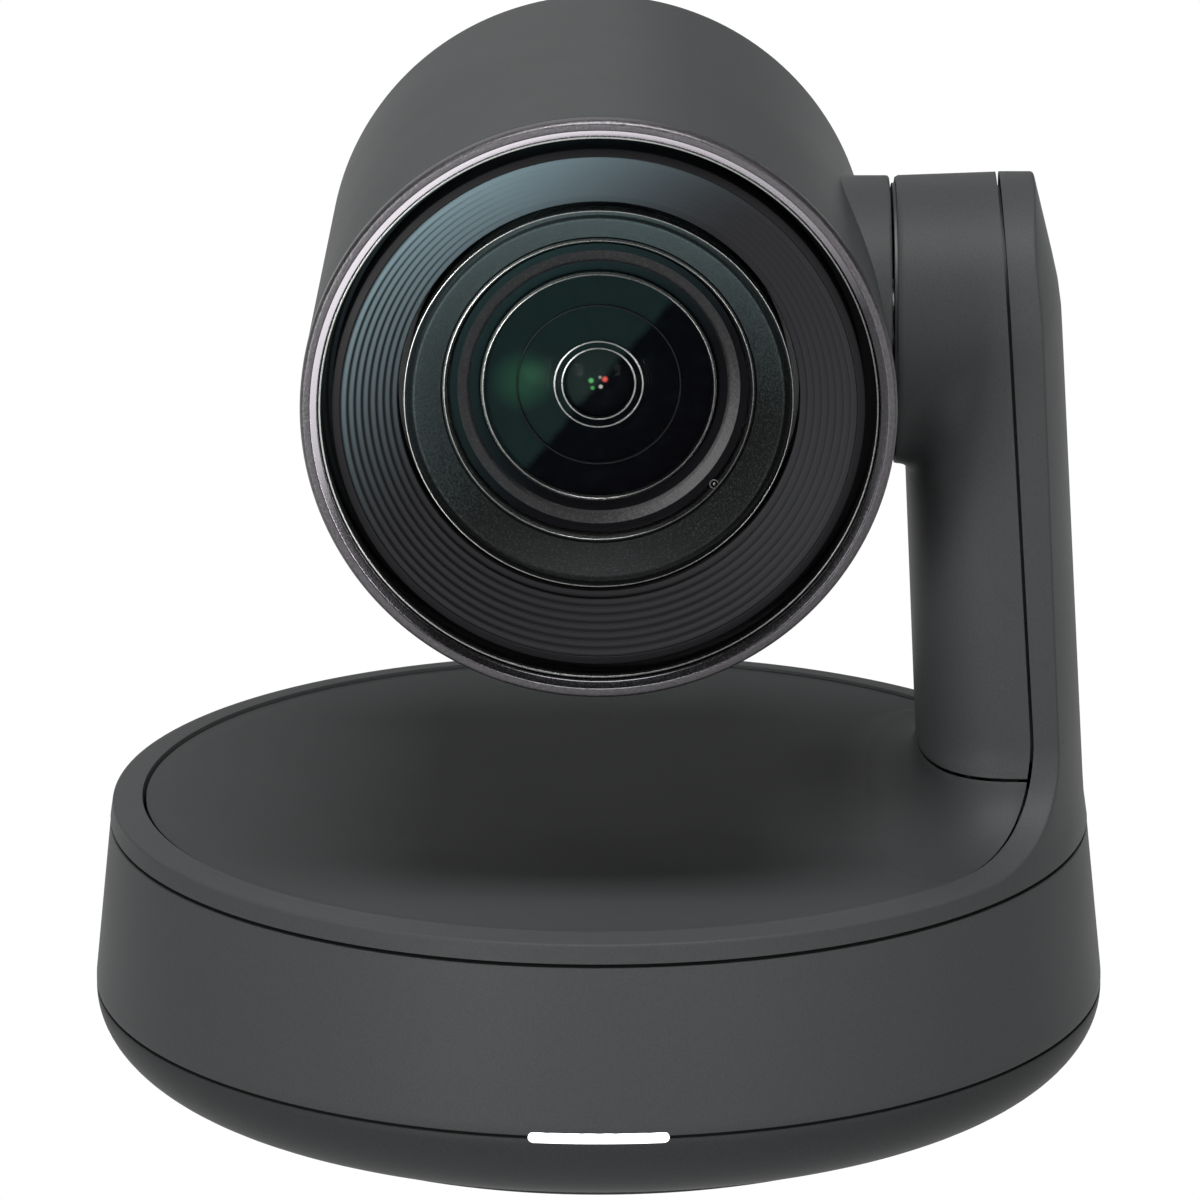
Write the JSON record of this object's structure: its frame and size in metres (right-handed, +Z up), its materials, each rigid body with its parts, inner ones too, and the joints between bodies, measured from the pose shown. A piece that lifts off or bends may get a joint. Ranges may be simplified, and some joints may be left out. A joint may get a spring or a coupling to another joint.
{
  "type": "ptz camera",
  "caption": "Table-top pan and tilt conference camera: a large zoom lens in a round head that tilts on one side arm, on a top that turns on a round base.",
  "frame": {"origin": "centre of the base's underside, on the surface it stands on", "axes": "+Z up, along the pan axis; the lens looks along -Y at rest; the arm is on +X"},
  "size_m": [0.152, 0.152, 0.1604],
  "materials": {
    "shell_plastic": "satin, fine texture",
    "black_plastic": "matte",
    "foot_rubber": "matte",
    "insert_brass": "machined",
    "steel": "plain",
    "aluminium": "plain",
    "circuit_board": "solder mask",
    "silicon": "polished",
    "bearing_plastic": "plain",
    "cable_film": "film",
    "light_diffuser": "glowing white",
    "bezel_metal": "fine texture",
    "trim_metal": "polished",
    "coated_glass": "green anti-reflection coating"
  },
  "bodies": {
    "base": {"lower_shell": "shell_plastic", "foot_ring": "foot_rubber", "tripod_insert": "insert_brass", "base_screws": "steel", "ballast_plate": "steel", "ring_shell": "shell_plastic", "light_bar": "light_diffuser", "light_board": "circuit_board", "port_panel": "black_plastic", "power_jack": "black_plastic", "usb_port": "steel", "video_port": "steel", "lock_plate": "steel", "main_board": "circuit_board", "board_pillars": "steel", "pan_post": "aluminium", "glide_washer": "bearing_plastic", "post_clip": "steel", "pan_motor": "steel"},
    "reset_button": {"reset_button": "shell_plastic"},
    "pan_pinion": {"pan_pinion": "steel"},
    "turntable": {"top_plate": "shell_plastic", "outer_shell": "shell_plastic", "inner_cover": "shell_plastic", "pan_carrier": "aluminium", "pan_bush": "bearing_plastic", "pan_gear": "bearing_plastic", "carrier_screws": "steel", "arm_chassis": "aluminium", "tilt_bushes": "bearing_plastic", "tilt_motor": "steel", "arm_screws": "steel", "arm_cable": "cable_film"},
    "tilt_pinion": {"tilt_pinion": "steel"},
    "head": {"head_shell": "shell_plastic", "rear_cap": "shell_plastic", "head_chassis": "aluminium", "tilt_shaft": "steel", "tilt_gear": "bearing_plastic", "shaft_clip": "steel", "flange_screws": "steel", "lens_bezel": "bezel_metal", "bezel_trim": "trim_metal", "baffle_cone": "black_plastic", "lens_ring": "black_plastic", "front_glass": "coated_glass", "glass_retainer": "black_plastic", "inner_glass": "coated_glass", "lens_barrel": "black_plastic", "guide_rods": "steel", "aperture_ring": "black_plastic", "drive_magnets": "steel", "image_sensor": "silicon", "sensor_board": "circuit_board", "processor_board": "circuit_board", "heat_plate": "aluminium"},
    "zoom_group": {"zoom_carrier": "black_plastic", "zoom_lens": "coated_glass"},
    "focus_group": {"focus_carrier": "black_plastic", "focus_lens": "coated_glass"}
  },
  "joints": [
    {"name": "pan", "type": "hinge", "parent": "base", "child": "turntable", "pos_m": [0, 0, 0.0394], "axis": [0, 0, 1], "range_deg": [-90, 90]},
    {"name": "tilt", "type": "hinge", "parent": "turntable", "child": "head", "pos_m": [0, 0, 0.11742], "axis": [-1, 0, 0], "range_deg": [-90, 50]},
    {"name": "pan_pinion_spin", "type": "hinge", "parent": "base", "child": "pan_pinion", "pos_m": [0, -0.0384, 0.03], "axis": [0, 0, 1], "range_deg": [-460, 460]},
    {"name": "tilt_pinion_spin", "type": "hinge", "parent": "turntable", "child": "tilt_pinion", "pos_m": [0.052, 0, 0.09742], "axis": [-1, 0, 0], "range_deg": [-120, 200]},
    {"name": "zoom", "type": "slide", "parent": "head", "child": "zoom_group", "axis": [0, 1, 0], "range_m": [0, 0.012]},
    {"name": "focus", "type": "slide", "parent": "head", "child": "focus_group", "axis": [0, 1, 0], "range_m": [0, 0.006]},
    {"name": "reset_press", "type": "slide", "parent": "base", "child": "reset_button", "axis": [0, -1, 0], "range_m": [0, 0.0006], "stiffness_N_per_m": 400}
  ],
  "couplings": [
    {"joint": "pan_pinion_spin", "follows": "pan", "ratio": -5},
    {"joint": "tilt_pinion_spin", "follows": "tilt", "ratio": -2.125}
  ]
}
